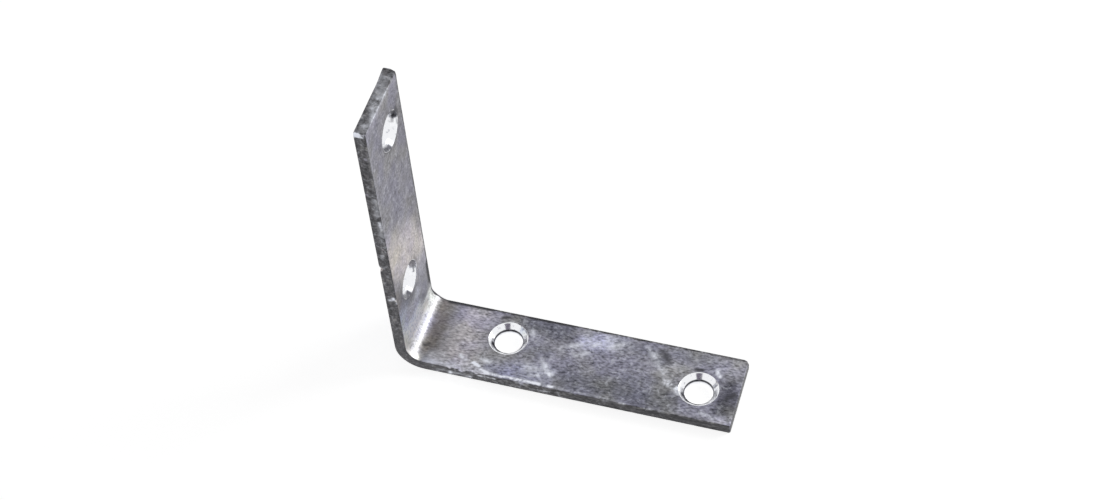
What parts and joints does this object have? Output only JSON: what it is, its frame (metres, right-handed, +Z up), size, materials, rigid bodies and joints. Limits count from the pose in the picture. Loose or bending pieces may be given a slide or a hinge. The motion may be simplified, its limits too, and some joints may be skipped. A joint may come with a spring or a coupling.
{
  "type": "corner brace bracket",
  "caption": "Right-angled corner brace of bent flat steel strip, zinc plated, with countersunk screw holes staggered along each leg.",
  "frame": {"origin": "outer corner, where the planes of the two outer faces meet, at the middle of the strip's width", "axes": "+X runs along the foot from the corner to its end, +Z runs up the upright, and Y runs across the strip; the outer faces look along -Z and -X"},
  "size_m": [0.076, 0.018, 0.076],
  "materials": {
    "zinc_plated_steel": "bright zinc plate on rolled steel strip, mottled and lightly scuffed, with darker sheared and rolled edges"
  },
  "bodies": {
    "root": {"brace": "zinc_plated_steel"}
  },
  "joints": []
}
